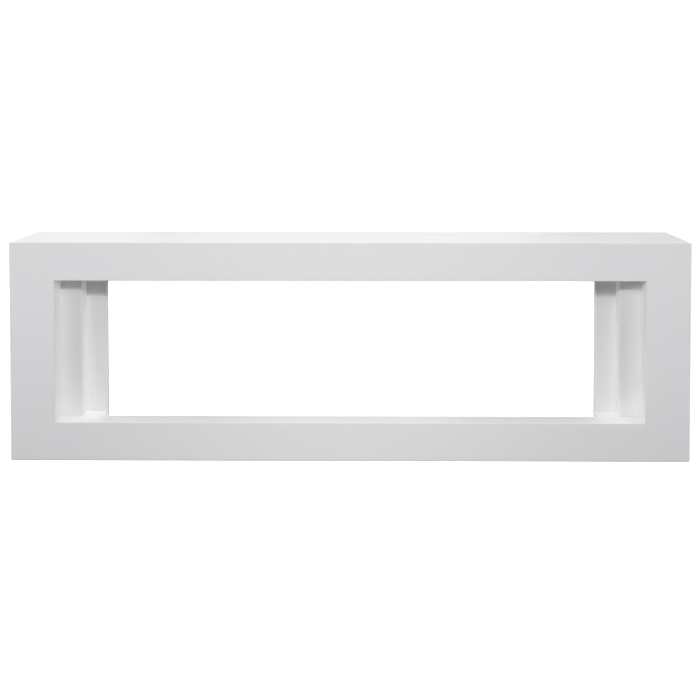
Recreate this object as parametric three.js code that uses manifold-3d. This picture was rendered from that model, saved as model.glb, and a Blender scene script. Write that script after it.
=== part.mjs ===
// A wide, low fireplace mantelpiece: a flat face frame on an open-backed box of painted board,
// with two steps of slip set back on each side of the fire opening.
// Millimetres. +X is to the right, +Y is towards the wall, +Z is up.
// The origin is on the floor, under the middle of the box.
import * as THREE from "three";
import { mergeVertices } from "three/addons/utils/BufferGeometryUtils.js";
import Module from "manifold-3d";

// Outer size
const WIDTH = 1500;
const HEIGHT = 484;
const DEPTH = 300;

// Face frame, and the opening that it leaves
const STILE = 99;
const RAIL = 85;

// Boards
const BOARD = 18;
const CORNER = 3;
const ARRIS = 2;
const ROUND_STEPS = 6;

// Slips: two steps on each side, each set back from the face of the frame
const SLIP_WIDTH = 47;
const OUTER_SLIP_SETBACK = 76;
const INNER_SLIP_SETBACK = 130;

// Planes that the boards share
const FRONT = -DEPTH / 2;
const BACK = DEPTH / 2;
const FRAME_BACK = FRONT + BOARD;
const BOX_DEPTH = BACK - FRAME_BACK;
const OPENING_HALF = WIDTH / 2 - STILE;
const OPENING_FLOOR = RAIL;
const OPENING_TOP = HEIGHT - RAIL;
const OPENING_HEIGHT = OPENING_TOP - OPENING_FLOOR;
const INSIDE_HALF = WIDTH / 2 - BOARD;
const OUTER_SLIP_FACE = FRONT + OUTER_SLIP_SETBACK;
const INNER_SLIP_FACE = FRONT + INNER_SLIP_SETBACK;
const SLIP_BACK = INNER_SLIP_FACE + BOARD;
const FIRE_HALF = OPENING_HALF - 2 * SLIP_WIDTH;

const SATIN_WHITE = { color: 0xd7d7d7, roughness: 0.38, metalness: 0 };

const mantelpiece = new THREE.Group();

const wasm = await Module();
wasm.setup();

// A closed geometry as a solid that can be cut.
function solidFrom(geometry) {
  const bare = geometry.clone();
  bare.deleteAttribute("normal");
  bare.deleteAttribute("uv");
  const merged = mergeVertices(bare);
  return new wasm.Manifold(
    new wasm.Mesh({
      numProp: 3,
      vertProperties: merged.attributes.position.array,
      triVerts: new Uint32Array(merged.index.array),
    }),
  );
}

function geometryFrom(solid) {
  const { vertProperties, triVerts } = solid.getMesh();
  const geometry = new THREE.BufferGeometry();
  geometry.setAttribute("position", new THREE.BufferAttribute(vertProperties, 3));
  geometry.setIndex(new THREE.BufferAttribute(triVerts, 1));
  geometry.computeVertexNormals();
  return geometry;
}

// A rectangle from (x0, y0) to (x1, y1), drawn anticlockwise from its lower left corner.
// Each corner is square where its radius is 0 and a quarter circle otherwise.
function section(x0, y0, x1, y1, { lowLeft = 0, lowRight = 0, topRight = 0, topLeft = 0 } = {}) {
  const corners = [
    [x0 + lowLeft, y0 + lowLeft, lowLeft, Math.PI],
    [x1 - lowRight, y0 + lowRight, lowRight, 1.5 * Math.PI],
    [x1 - topRight, y1 - topRight, topRight, 0],
    [x0 + topLeft, y1 - topLeft, topLeft, 0.5 * Math.PI],
  ];
  const outline = corners.flatMap(([x, y, radius, from]) => {
    const steps = radius > 0 ? ROUND_STEPS : 0;
    return Array.from({ length: steps + 1 }, (_, step) => {
      const turn = from + (step / ROUND_STEPS) * (Math.PI / 2);
      return new THREE.Vector2(x + radius * Math.cos(turn), y + radius * Math.sin(turn));
    });
  });
  return new THREE.Shape(outline);
}

function addPiece(name, geometry) {
  const piece = new THREE.Mesh(geometry, new THREE.MeshStandardMaterial(SATIN_WHITE));
  piece.name = name;
  mantelpiece.add(piece);
  return piece;
}

// A square-edged board that fills the space between two corners.
function addBoard(name, low, high) {
  const size = high.map((value, axis) => value - low[axis]);
  const board = addPiece(name, new THREE.BoxGeometry(...size));
  board.position.set(...low.map((value, axis) => value + size[axis] / 2));
}

// A board whose section stands in the X-Z plane and runs from the wall towards the front.
function addRunner(name, shape, length) {
  const geometry = new THREE.ExtrudeGeometry(shape, {
    depth: length,
    bevelEnabled: false,
  });
  const runner = addPiece(name, geometry);
  runner.rotation.x = Math.PI / 2;
  runner.position.y = BACK;
}

// A piece whose section lies in the X-Y plane and rises from the height given.
function addSlab(name, shape, bottom, height) {
  const geometry = new THREE.ExtrudeGeometry(shape, {
    depth: height,
    bevelEnabled: false,
  });
  addPiece(name, geometry).position.z = bottom;
}

// The face frame: one flat sheet with the opening cut out of it.
// Its front arrises are rounded, inside and out, and its back is cut flat where it meets the box.
function addFaceFrame() {
  const corner = { lowLeft: CORNER, lowRight: CORNER, topRight: CORNER, topLeft: CORNER };
  const outline = section(-WIDTH / 2, 0, WIDTH / 2, HEIGHT, corner);
  outline.holes.push(section(-OPENING_HALF, OPENING_FLOOR, OPENING_HALF, OPENING_TOP));
  const rounded = new THREE.ExtrudeGeometry(outline, {
    depth: BOARD,
    bevelThickness: ARRIS,
    bevelSize: ARRIS,
    bevelOffset: -ARRIS,
    bevelSegments: ROUND_STEPS,
  });
  rounded.rotateX(Math.PI / 2);
  rounded.translate(0, FRONT + ARRIS + BOARD, 0);
  const behind = new THREE.BoxGeometry(2 * WIDTH, BOARD, 2 * HEIGHT);
  behind.translate(0, FRAME_BACK + BOARD / 2, HEIGHT / 2);
  addPiece("front_frame", geometryFrom(solidFrom(rounded).subtract(solidFrom(behind))));
}

// The box behind the frame: shelf, base and ends. Its back is open to the wall.
function addBox() {
  const half = WIDTH / 2;
  const shelf = section(-half, HEIGHT - BOARD, half, HEIGHT, { topLeft: CORNER, topRight: CORNER });
  const base = section(-half, 0, half, BOARD, { lowLeft: CORNER, lowRight: CORNER });
  addRunner("mantel_shelf", shelf, BOX_DEPTH);
  addRunner("base_board", base, BOX_DEPTH);
  addBoard("left_end_panel", [-half, FRAME_BACK, BOARD], [-INSIDE_HALF, BACK, HEIGHT - BOARD]);
  addBoard("right_end_panel", [INSIDE_HALF, FRAME_BACK, BOARD], [half, BACK, HEIGHT - BOARD]);
}

// The floor and ceiling of the recess, between the cheeks and as deep as the slips.
// The floor is a sill in the middle, level at its back with the outer slips' faces, so that a fire can
// stand behind it, and it runs back under the slips at both ends.
function addRecess() {
  const corners = [
    [-OPENING_HALF, FRAME_BACK],
    [OPENING_HALF, FRAME_BACK],
    [OPENING_HALF, SLIP_BACK],
    [FIRE_HALF, SLIP_BACK],
    [FIRE_HALF, OUTER_SLIP_FACE],
    [-FIRE_HALF, OUTER_SLIP_FACE],
    [-FIRE_HALF, SLIP_BACK],
    [-OPENING_HALF, SLIP_BACK],
  ];
  const sill = new THREE.Shape(corners.map((corner) => new THREE.Vector2(...corner)));
  addSlab("hearth_board", sill, OPENING_FLOOR - BOARD, BOARD);
  addBoard(
    "soffit_board",
    [-OPENING_HALF, FRAME_BACK, OPENING_TOP],
    [OPENING_HALF, SLIP_BACK, OPENING_TOP + BOARD],
  );
}

// One side of the recess: the cheek, a full-height board from base to shelf, the outer slip against it,
// and the inner slip behind, whose free edge is the side of the fire opening.
function addJamb(side, sign) {
  const cheek = sign * OPENING_HALF;
  const outside = sign * (OPENING_HALF + BOARD);
  const step = sign * (OPENING_HALF - SLIP_WIDTH);
  const edge = sign * FIRE_HALF;
  addBoard(
    `${side}_cheek`,
    [Math.min(cheek, outside), FRAME_BACK, BOARD],
    [Math.max(cheek, outside), BACK, HEIGHT - BOARD],
  );
  const freeFront = sign > 0 ? "lowLeft" : "lowRight";
  const freeBack = sign > 0 ? "topLeft" : "topRight";
  const outer = section(
    Math.min(cheek, step),
    OUTER_SLIP_FACE,
    Math.max(cheek, step),
    INNER_SLIP_FACE,
    { [freeFront]: ARRIS },
  );
  const inner = section(
    Math.min(cheek, edge),
    INNER_SLIP_FACE,
    Math.max(cheek, edge),
    SLIP_BACK,
    { [freeFront]: ARRIS, [freeBack]: ARRIS },
  );
  addSlab(`${side}_outer_slip`, outer, OPENING_FLOOR, OPENING_HEIGHT);
  addSlab(`${side}_inner_slip`, inner, OPENING_FLOOR, OPENING_HEIGHT);
}

addFaceFrame();
addBox();
addRecess();
addJamb("left", -1);
addJamb("right", 1);

export default mantelpiece;
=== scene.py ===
import math

import bpy
import numpy as np
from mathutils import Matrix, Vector


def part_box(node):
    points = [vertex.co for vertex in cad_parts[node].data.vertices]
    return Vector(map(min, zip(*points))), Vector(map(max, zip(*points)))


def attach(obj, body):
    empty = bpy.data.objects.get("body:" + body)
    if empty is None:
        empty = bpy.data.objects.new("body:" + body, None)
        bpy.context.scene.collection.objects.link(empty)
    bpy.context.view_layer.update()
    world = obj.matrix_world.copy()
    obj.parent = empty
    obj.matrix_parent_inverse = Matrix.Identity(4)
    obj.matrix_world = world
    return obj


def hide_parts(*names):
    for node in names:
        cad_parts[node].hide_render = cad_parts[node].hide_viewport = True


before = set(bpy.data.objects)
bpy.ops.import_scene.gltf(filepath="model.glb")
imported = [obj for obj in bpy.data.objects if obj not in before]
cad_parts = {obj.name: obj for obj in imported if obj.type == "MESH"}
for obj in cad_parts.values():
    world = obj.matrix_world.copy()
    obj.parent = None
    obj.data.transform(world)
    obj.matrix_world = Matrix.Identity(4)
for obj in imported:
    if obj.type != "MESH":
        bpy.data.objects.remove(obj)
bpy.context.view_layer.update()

# Edges, in metres
MM = 0.001
SHOWN_ARRIS = 2.0 * MM
BOX_CORNER = 3.0 * MM
OPENING_CORNER = 0.8 * MM
JOINT_ARRIS = 0.4 * MM
JOINT_EASE = 0.3 * MM
ROUND_STEPS = 6

# The ways that a board's faces look, and the cosine from which a face counts as looking one way
LEFT, RIGHT = (-1, 0, 0), (1, 0, 0)
BACK = (0, 1, 0)
DOWN, UP = (0, 0, -1), (0, 0, 1)
ALIGNED = 0.75

# How an outline lies: the frame's direction for its two axes and for the way it is carried
LYING = np.array([[1, 0, 0], [0, 1, 0], [0, 0, 1]], float)
FACING = np.array([[1, 0, 0], [0, 0, 1], [0, -1, 0]], float)

# The side of its outline that a wall looks to: outwards, or into a hole
OUTER, HOLE = 1, -1

# Satin paint: its colours, its sheen, and how many clouds, mottles and dimples lie on a metre
PAINT_LIGHT = (0.841, 0.842, 0.843, 1.0)
PAINT_SHADE = (0.811, 0.812, 0.814, 1.0)
PAINT_THIN = (0.800, 0.792, 0.775, 1.0)
PAINT_ROUGHNESS = 0.46
PAINT_IOR = 1.5
CLOUDS = 2.3
MOTTLES = 26.0
DIMPLES = 420.0
CLOUD_SHARE = 0.7
CLOUD_SHEEN = 0.10
MOTTLE_SHEEN = 0.06
ARRIS_SHEEN = 0.05
THIN_SHARE = 0.3
PEEL_STRENGTH = 0.12
PEEL_DEPTH = 0.05 * MM

# Primer: the same, with broad blooms and the fine nap of the board
PRIMER_LIGHT = (0.80, 0.79, 0.77, 1.0)
PRIMER_SHADE = (0.73, 0.715, 0.69, 1.0)
PRIMER_ROUGHNESS = 0.62
PRIMER_IOR = 1.45
BLOOMS = 5.0
NAPS = 310.0
BLOOM_SHARE = 0.6
NAP_SHEEN = 0.12
NAP_STRENGTH = 0.3
NAP_DEPTH = 0.1 * MM

# Noise that the finishes are made of
NOISE_MEAN = 0.5
NOISE_DETAIL = 3.0

# Studio floor and backdrop: the glow rises from the floor's to the backdrop's, from near to far
DRUM_RADIUS = 30.0
DRUM_HEIGHT = 30.0
DRUM_SIDES = 64
FLOOR_DROP = 0.5 * MM
FLOOR_PAPER = (0.5, 0.5, 0.5, 1.0)
FLOOR_GLOW = 0.86
WHITE_GLOW = (1.0, 1.0, 1.0, 1.0)
MATT = {"Roughness": 1.0, "Specular IOR Level": 0.0}
BACKDROP_PAPER = (0.0, 0.0, 0.0, 1.0)
BACKDROP_GLOW = 1.05
NEAR_FLOOR = 0.9
FAR_FLOOR = 2.0

# Studio light: its strength all round, the tints, and the angles that a light spreads over
AMBIENT = 0.07
PLAIN = (1.0, 1.0, 1.0)
COOL = (0.985, 0.99, 1.02)
WIDE = math.pi
BROAD = math.radians(80)
BEAM = math.radians(25)

# Lights on the middle line: name, place, what it is turned to, width, height, watts
MIDDLE_LIGHTS = [
    ("key", (0.0, -1.9, 1.03), (0.0, -0.15, 0.3), 0.8, 0.16, 15.8),
    ("overhead", (0.0, 0.2, 2.6), (0.0, 0.1, 0.48), 2.4, 1.4, 29.0),
    ("behind_high", (0.0, 2.5, 2.6), (0.0, 0.0, 0.2), 3.0, 1.5, 36.0),
    ("behind_middle", (0.0, 3.2, 1.3), (0.0, 0.0, 0.4), 1.6, 2.4, 8.5),
    ("bounce", (0.0, -0.8, -0.15), (0.0, -0.15, 0.05), 0.8, 0.3, 0.75),
]

# Lights in pairs, as on the right: the same, with the watts of the left and the right, and the tint
PAIRED_LIGHTS = [
    ("front", (2.0, -2.0, 1.2), (0.0, -0.15, 0.3), 1.0, 0.8, (9.0, 7.0), COOL),
    ("low", (2.6, -0.9, 0.6), (-0.65, -0.1, 0.24), 0.8, 0.4, (23.0, 22.5), COOL),
    ("end", (3.0, 0.5, 0.8), (0.75, 0.0, 0.25), 1.2, 1.2, (4.5, 4.5), COOL),
    ("behind", (1.9, 3.2, 1.3), (0.0, 0.0, 0.4), 2.0, 2.4, (17.0, 4.0), PLAIN),
]

# Small lights inside the opening: width and height, and the watts of the left and the right
CHEEK_LIGHT = (0.28, 0.09, (0.175, 0.165))
SILL_BEAM = (0.09, 0.05, (0.0082, 0.0070))
FOOT_BEAM = (0.04, 0.04, (0.0060, 0.0046))
WELL_LIGHT = (0.06, 0.01, (0.0012, 0.0010))

# Where they stand: metres from cheek and well, and shares of the steps' height and the sill's depth
CHEEK_LIGHT_REACH = 1.1
WELL_LIGHT_REACH = 0.06
BEAM_RISE = 0.75
SILL_BEAM_INSET = 0.4

# Lights behind a polarising sheet, which leave no gleam on the paint
NO_GLEAM = ("front_left", "front_right")

# Camera
LENS = 79.0
SENSOR = 36.0
SHIFT = (-0.02, -0.235)
EYE = (0.072, -3.51, 0.7705)
LOOK_AT = (0.032, -0.15, 0.6095)


# Shapes


def rounded_outline(corners, radii):
    """A closed outline with rounded square corners: its points, outward normals and bend.

    At each corner the normal n turns a quarter circle from that of the edge before to that of the
    edge after. The point is c + s r n, with r the radius and s 1 at an outward corner and -1 at an
    inward one, about the centre c = corner - s r (n before + n after). The bend is the sine of twice
    the turn: 0 where an edge starts or ends and 1 in mid corner.
    """
    corners = np.asarray(corners, float)
    along = np.roll(corners, -1, axis=0) - corners
    along /= np.linalg.norm(along, axis=1, keepdims=True)
    after = np.stack([along[:, 1], -along[:, 0]], axis=1)
    before = np.roll(after, 1, axis=0)
    outward = before[:, 0] * after[:, 1] - before[:, 1] * after[:, 0]
    reach = (outward * np.asarray(radii, float))[:, None]
    centre = corners - reach * (before + after)
    turn = np.linspace(0, math.pi / 2, ROUND_STEPS + 1)
    swing = turn[None, :, None]
    normal = np.cos(swing) * before[:, None] + np.sin(swing) * after[:, None]
    point = centre[:, None] + reach[:, None] * normal
    bend = np.tile(np.sin(2 * turn), len(corners))
    return point.reshape(-1, 2), normal.reshape(-1, 2), bend


def eased_wall(outline, side, low, high, eases):
    """An outline carried from low to high, and drawn in round a quarter circle at both ends.

    With a from -90 to 90 degrees and r the ease of that end, a point is outline - side r (1 - cos a)
    normal, at the height low + r + r sin a in the lower half and high - r + r sin a in the upper.
    Its normal is side cos a normal + sin a up, with side 1 for OUTER and -1 for HOLE.
    The bend is the larger of the outline's and of the size of sin 2a.
    """
    point, normal, bend = outline
    quarter = np.linspace(0, math.pi / 2, ROUND_STEPS + 1)
    angle = np.concatenate([quarter - math.pi / 2, quarter])[:, None, None]
    ease = np.repeat(eases, ROUND_STEPS + 1)[:, None, None]
    start = np.repeat([low + eases[0], high - eases[1]], ROUND_STEPS + 1)[:, None, None]
    level = np.ones((1, len(point), 1))
    plan = point - side * ease * (1 - np.cos(angle)) * normal
    height = (start + ease * np.sin(angle)) * level
    points = np.concatenate([plan, height], axis=2)
    normals = np.concatenate([side * np.cos(angle) * normal, np.sin(angle) * level], axis=2)
    bends = np.maximum(np.abs(np.sin(2 * angle[:, :, 0])), bend)
    return points, normals, bends


def grid_faces(rows, columns, closed):
    """The quads of a grid whose columns close on themselves, and whose rows do too if closed."""
    row = np.arange(rows if closed else rows - 1)[:, None]
    column = np.arange(columns)[None, :]
    above = (row + 1) % rows
    beside = (column + 1) % columns
    corners = [
        row * columns + column,
        row * columns + beside,
        above * columns + beside,
        above * columns + column,
    ]
    return np.stack(corners, axis=-1).reshape(-1, 4).tolist()


def slab(corners, radii, low, high):
    """A board over a rounded outline: one eased wall, with a flat face over each end of its grid."""
    outline = rounded_outline(corners, radii)
    points, normals, bends = eased_wall(outline, OUTER, low, high, (JOINT_EASE, JOINT_EASE))
    rows, columns = bends.shape
    rim = np.arange(columns)
    ends = [rim[::-1].tolist(), (rim + (rows - 1) * columns).tolist()]
    return (points, normals, bends), grid_faces(rows, columns, closed=False) + ends


def ring(outer, inner, low, high, eases):
    """A flat ring: the grid runs up the outer wall and down the inner one, and closes on itself."""
    up = eased_wall(outer, OUTER, low, high, eases)
    down = eased_wall(inner, HOLE, low, high, eases)
    pairs = zip(up, down)
    points, normals, bends = [np.concatenate([rising, falling[::-1]]) for rising, falling in pairs]
    return (points, normals, bends), grid_faces(*bends.shape, closed=True)


def rectangle(left, bottom, right, top):
    """The corners of a rectangle, anticlockwise from the lower left."""
    return [(left, bottom), (right, bottom), (right, top), (left, top)]


# Materials


class Wire:
    """A socket of a material's nodes to reckon with: each operator adds its Math node."""

    # A Mix node's sockets for colours, by number because its other kinds have the same names
    MIX_FIRST, MIX_SECOND, MIX_RESULT = 6, 7, 2

    def __init__(self, tree, socket=None):
        self.tree = tree
        self.socket = socket

    def node(self, kind, settings=None, sockets=None, output=0):
        """Adds a node, sets its settings, and gives each socket named a value or a link."""
        made = self.tree.nodes.new(kind)
        for name, value in (settings or {}).items():
            setattr(made, name, value)
        for name, value in (sockets or {}).items():
            if isinstance(value, Wire):
                self.tree.links.new(value.socket, made.inputs[name])
            else:
                made.inputs[name].default_value = value
        return Wire(self.tree, made.outputs[output] if made.outputs else None)

    def reckon(self, operation, first, second):
        """The result of a Math operation on two numbers or wires."""
        return self.node("ShaderNodeMath", {"operation": operation}, {0: first, 1: second})

    def __add__(self, other):
        return self.reckon("ADD", self, other)

    def __radd__(self, other):
        return self.reckon("ADD", other, self)

    def __sub__(self, other):
        return self.reckon("SUBTRACT", self, other)

    def __rsub__(self, other):
        return self.reckon("SUBTRACT", other, self)

    def __mul__(self, other):
        return self.reckon("MULTIPLY", self, other)

    def __rmul__(self, other):
        return self.reckon("MULTIPLY", other, self)

    def place(self):
        """The place of a point of the surface, in the object's own metres."""
        return self.node("ShaderNodeTexCoord", output="Object")

    def cloud(self, scale):
        """Soft noise around its mean, with so many clouds to the metre."""
        sockets = {"Vector": self.place(), "Scale": scale, "Detail": NOISE_DETAIL}
        return self.node("ShaderNodeTexNoise", None, sockets)

    def mix(self, share, first, second):
        """A colour between two: (1 - share) of the first and share of the second."""
        sockets = {"Factor": share, self.MIX_FIRST: first, self.MIX_SECOND: second}
        return self.node("ShaderNodeMix", {"data_type": "RGBA"}, sockets, self.MIX_RESULT)

    def bump(self, height, strength, depth):
        """The normal of a surface raised by height times depth, with a strength from 0 to 1."""
        sockets = {"Height": height, "Strength": strength, "Distance": depth}
        return self.node("ShaderNodeBump", None, sockets)

    def finish(self, sockets):
        """Closes the material with a shader that has these values or links."""
        shader = self.node("ShaderNodeBsdfPrincipled", None, sockets)
        self.node("ShaderNodeOutputMaterial", None, {"Surface": shader})


def new_material(name):
    """A material with no nodes yet, and the wire that adds them."""
    material = bpy.data.materials.new(name)
    material.use_nodes = True
    material.node_tree.nodes.clear()
    return material, Wire(material.node_tree)


def satin_white():
    """Sprayed satin paint: faint clouds, a slow change of sheen, a fine peel, thinner on the arrises."""
    material, wire = new_material("satin_white")
    clouds = wire.cloud(CLOUDS)
    mottle = wire.cloud(MOTTLES)
    peel = wire.cloud(DIMPLES)
    arris = wire.node("ShaderNodeAttribute", {"attribute_name": "arris"}, output="Fac")
    coat = wire.mix(clouds * CLOUD_SHARE + mottle * (1 - CLOUD_SHARE), PAINT_SHADE, PAINT_LIGHT)
    uneven = (clouds - NOISE_MEAN) * CLOUD_SHEEN + (mottle - NOISE_MEAN) * MOTTLE_SHEEN
    wire.finish(
        {
            "Base Color": wire.mix(arris * THIN_SHARE, coat, PAINT_THIN),
            "Roughness": PAINT_ROUGHNESS + uneven + arris * ARRIS_SHEEN,
            "IOR": PAINT_IOR,
            "Normal": wire.bump(peel, PEEL_STRENGTH, PEEL_DEPTH),
        }
    )
    return material


def primed_board():
    """Primer on the faces that go to the wall or inside: duller and warmer, with the board's nap."""
    material, wire = new_material("primed_board")
    bloom = wire.cloud(BLOOMS)
    nap = wire.cloud(NAPS)
    light = bloom * BLOOM_SHARE + nap * (1 - BLOOM_SHARE)
    wire.finish(
        {
            "Base Color": wire.mix(light, PRIMER_SHADE, PRIMER_LIGHT),
            "Roughness": PRIMER_ROUGHNESS + (nap - NOISE_MEAN) * NAP_SHEEN,
            "IOR": PRIMER_IOR,
            "Normal": wire.bump(nap, NAP_STRENGTH, NAP_DEPTH),
        }
    )
    return material


def floor_paper():
    """White paper lit from below, more so away from the box, which takes only a faint shadow."""
    material, wire = new_material("floor_paper")
    away = wire.node("ShaderNodeVectorMath", {"operation": "LENGTH"}, {0: wire.place()}, "Value")
    rise = {
        "Value": away,
        "From Min": NEAR_FLOOR,
        "From Max": FAR_FLOOR,
        "To Min": FLOOR_GLOW,
        "To Max": BACKDROP_GLOW,
    }
    glow = wire.node("ShaderNodeMapRange", None, rise)
    wire.finish(
        {
            **MATT,
            "Base Color": FLOOR_PAPER,
            "Emission Color": wire.node("ShaderNodeCombineColor", None, {0: glow, 1: glow, 2: glow}),
            "Emission Strength": 1.0,
        }
    )
    return material


def backdrop_paper():
    """White paper lit evenly from behind, on which nothing casts a shadow."""
    material, wire = new_material("backdrop_paper")
    wire.finish(
        {
            **MATT,
            "Base Color": BACKDROP_PAPER,
            "Emission Color": WHITE_GLOW,
            "Emission Strength": BACKDROP_GLOW,
        }
    )
    return material


# Pieces


def add_object(name, data):
    """Puts a mesh, a light or a camera into the scene."""
    added = bpy.data.objects.new(name, data)
    bpy.context.collection.objects.link(added)
    return added


def add_piece(node, shape, lie, primed):
    """Lays a shape in its place, paints it, and primes the faces that look one of the ways given."""
    (points, normals, bends), faces = shape
    mesh = bpy.data.meshes.new(node + "_painted")
    mesh.from_pydata((points.reshape(-1, 3) @ lie).tolist(), [], faces)
    mesh.materials.append(PAINT)
    mesh.materials.append(PRIMER)
    count = len(mesh.polygons)
    looks = np.empty(3 * count)
    mesh.polygons.foreach_get("normal", looks)
    along = looks.reshape(-1, 3) @ np.transpose(np.asarray(primed, float))
    mesh.polygons.foreach_set("material_index", (along > ALIGNED).any(axis=1).astype(np.int32))
    mesh.polygons.foreach_set("use_smooth", np.ones(count, bool))
    mesh.attributes.new("arris", "FLOAT", "POINT").data.foreach_set("value", bends.ravel())
    mesh.normals_split_custom_set_from_vertices((normals.reshape(-1, 3) @ lie).tolist())
    piece = add_object(node + "_painted", mesh)
    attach(piece, "root")
    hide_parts(node)


def front_frame():
    """One sheet with the opening cut out of it, its front arrises rounded inside and out."""
    low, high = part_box("front_frame")
    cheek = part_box("right_cheek")[0].x
    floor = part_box("hearth_board")[1].z
    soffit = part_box("soffit_board")[0].z
    outer = rounded_outline(rectangle(low.x, low.z, high.x, high.z), [BOX_CORNER] * 4)
    inner = rounded_outline(rectangle(-cheek, floor, cheek, soffit), [OPENING_CORNER] * 4)
    shape = ring(outer, inner, -high.y, -low.y, (JOINT_EASE, SHOWN_ARRIS))
    add_piece("front_frame", shape, FACING, [BACK])


def runner(node, radii, primed):
    """A board whose upright section is carried from the wall to the back of the frame."""
    low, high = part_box(node)
    shape = slab(rectangle(low.x, low.z, high.x, high.z), radii, -high.y, -low.y)
    add_piece(node, shape, FACING, primed)


def upright(node, radii, primed):
    """A board whose flat section is carried up to its height."""
    low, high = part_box(node)
    shape = slab(rectangle(low.x, low.y, high.x, high.y), radii, low.z, high.z)
    add_piece(node, shape, LYING, primed)


def box_boards():
    """The boards of the box and the lining of its opening, with the box's own corners rounded."""
    butt, corner = JOINT_ARRIS, BOX_CORNER
    runner("mantel_shelf", [butt, butt, corner, corner], [DOWN, BACK])
    runner("base_board", [corner, corner, butt, butt], [UP, DOWN, BACK])
    runner("soffit_board", [butt] * 4, [UP, BACK])
    runner("left_end_panel", [butt] * 4, [RIGHT, BACK])
    runner("right_end_panel", [butt] * 4, [LEFT, BACK])
    runner("left_cheek", [butt] * 4, [LEFT, BACK])
    runner("right_cheek", [butt] * 4, [RIGHT, BACK])


def hearth_board():
    """The sill, with the fire's well cut into its back between the inner slips."""
    low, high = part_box("hearth_board")
    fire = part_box("right_inner_slip")[0].x
    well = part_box("right_outer_slip")[0].y
    corners = [
        (low.x, low.y),
        (high.x, low.y),
        (high.x, high.y),
        (fire, high.y),
        (fire, well),
        (-fire, well),
        (-fire, high.y),
        (low.x, high.y),
    ]
    shape = slab(corners, [JOINT_ARRIS] * len(corners), low.z, high.z)
    add_piece("hearth_board", shape, LYING, [DOWN, BACK])


def slips():
    """The steps at the sides of the opening, with each free upright arris rounded."""
    butt, free = JOINT_ARRIS, SHOWN_ARRIS
    upright("left_outer_slip", [butt, free, butt, butt], [BACK])
    upright("left_inner_slip", [butt, free, free, butt], [BACK])
    upright("right_outer_slip", [free, butt, butt, butt], [BACK])
    upright("right_inner_slip", [free, butt, butt, free], [BACK])


# Studio


def stage_sheet(name, points, faces, paper):
    """Floor or backdrop: the camera sees it, and it sends no light to the box."""
    mesh = bpy.data.meshes.new(name)
    mesh.from_pydata(points.tolist(), [], faces)
    mesh.materials.append(paper)
    sheet = add_object(name, mesh)
    sheet.visible_diffuse = False
    sheet.visible_glossy = False
    sheet.visible_shadow = False


def studio_stage():
    """A wide flat floor, and a lidded drum around it that closes the view.

    The rim is a circle: the radius times cosine and sine of the angle. The drum is that rim carried up.
    """
    around = np.linspace(0, 2 * math.pi, DRUM_SIDES, endpoint=False)
    rim = DRUM_RADIUS * np.stack([np.cos(around), np.sin(around), np.zeros(DRUM_SIDES)], axis=1)
    rise = np.array([0, 0, DRUM_HEIGHT])
    disc = list(range(DRUM_SIDES))
    lid = list(range(DRUM_SIDES, 2 * DRUM_SIDES))
    drum = np.concatenate([rim - rise, rim + rise])
    stage_sheet("floor", rim - (0, 0, FLOOR_DROP), [disc], floor_paper())
    stage_sheet("backdrop", drum, grid_faces(2, DRUM_SIDES, closed=False) + [lid], backdrop_paper())


def turned_to(place, aim):
    """The turn with which a light or camera at a place looks along the line from it to its aim."""
    return (Vector(aim) - Vector(place)).to_track_quat("-Z", "Y").to_euler()


def soft_light(name, place, aim, width, height, watts, tint=PLAIN, spread=WIDE):
    """A rectangle of light that isn't seen itself. Its gleam is seen, unless NO_GLEAM names it."""
    lamp = bpy.data.lights.new(name, "AREA")
    lamp.shape = "RECTANGLE"
    lamp.size = width
    lamp.size_y = height
    lamp.energy = watts
    lamp.color = tint
    lamp.spread = spread
    light = add_object(name, lamp)
    light.location = place
    light.rotation_euler = turned_to(place, aim)
    light.visible_camera = False
    light.visible_glossy = name not in NO_GLEAM


def light_pair(name, place, aim, width, height, watts, tint=PLAIN, spread=WIDE):
    """Two mirrored lights: place and aim are the right one's, and watts the left's and the right's."""
    for side, way, power in zip(("left", "right"), (-1, 1), watts):
        mirror = Vector((way, 1, 1))
        stand, target = mirror * Vector(place), mirror * Vector(aim)
        soft_light(f"{name}_{side}", stand, target, width, height, power, tint, spread)


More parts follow.
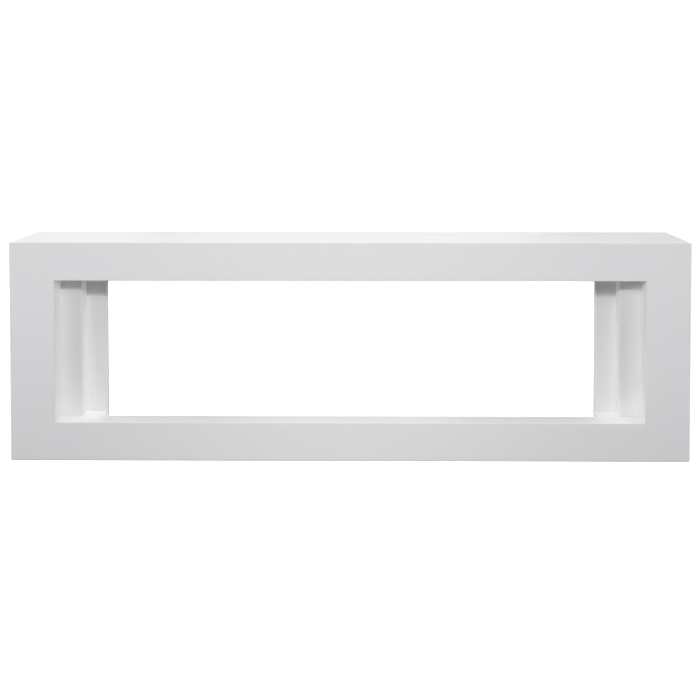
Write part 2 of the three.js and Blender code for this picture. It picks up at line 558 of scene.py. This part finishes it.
def studio_light():
    """Even light all round, the lights on the middle line, and the pairs at the sides."""
    world = bpy.data.worlds.new("studio")
    bpy.context.scene.world = world
    world.use_nodes = True
    background = world.node_tree.nodes["Background"]
    background.inputs["Color"].default_value = (*COOL, 1.0)
    background.inputs["Strength"].default_value = AMBIENT
    for light in MIDDLE_LIGHTS:
        soft_light(*light)
    for pair in PAIRED_LIGHTS:
        light_pair(*pair)


def recess_light():
    """A soft light across to each cheek, beams down on the sill at each step, and one in the well."""
    sill_low, sill_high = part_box("hearth_board")
    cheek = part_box("right_cheek")[0].x
    outer, outer_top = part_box("right_outer_slip")
    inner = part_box("right_inner_slip")[0]
    middle = (outer.z + outer_top.z) / 2
    rise = outer.z + BEAM_RISE * (outer_top.z - outer.z)
    across = (cheek - CHEEK_LIGHT_REACH, outer.y, middle)
    light_pair("cheek", across, (cheek, outer.y, middle), *CHEEK_LIGHT, spread=BROAD)
    sill = (outer.x, sill_low.y + SILL_BEAM_INSET * (outer.y - sill_low.y))
    light_pair("sill", (*sill, rise), (*sill, outer.z), *SILL_BEAM, spread=BEAM)
    foot = ((inner.x + outer.x) / 2, (inner.y + outer.y) / 2)
    light_pair("foot", (*foot, rise), (*foot, outer.z), *FOOT_BEAM, spread=BEAM)
    well = (foot[1], (sill_low.z + sill_high.z) / 2)
    light_pair("well", (inner.x - WELL_LIGHT_REACH, *well), (inner.x, *well), *WELL_LIGHT, spread=BEAM)


def photo_camera():
    """The view of the photo: a long lens, shifted down so that the uprights hardly lean."""
    lens = bpy.data.cameras.new("camera")
    lens.lens = LENS
    lens.sensor_width = SENSOR
    lens.shift_x, lens.shift_y = SHIFT
    camera = add_object("camera", lens)
    camera.location = EYE
    camera.rotation_euler = turned_to(EYE, LOOK_AT)
    bpy.context.scene.camera = camera


PAINT = satin_white()
PRIMER = primed_board()
front_frame()
box_boards()
hearth_board()
slips()
studio_stage()
studio_light()
recess_light()
photo_camera()
bpy.context.scene.view_settings.view_transform = "Standard"
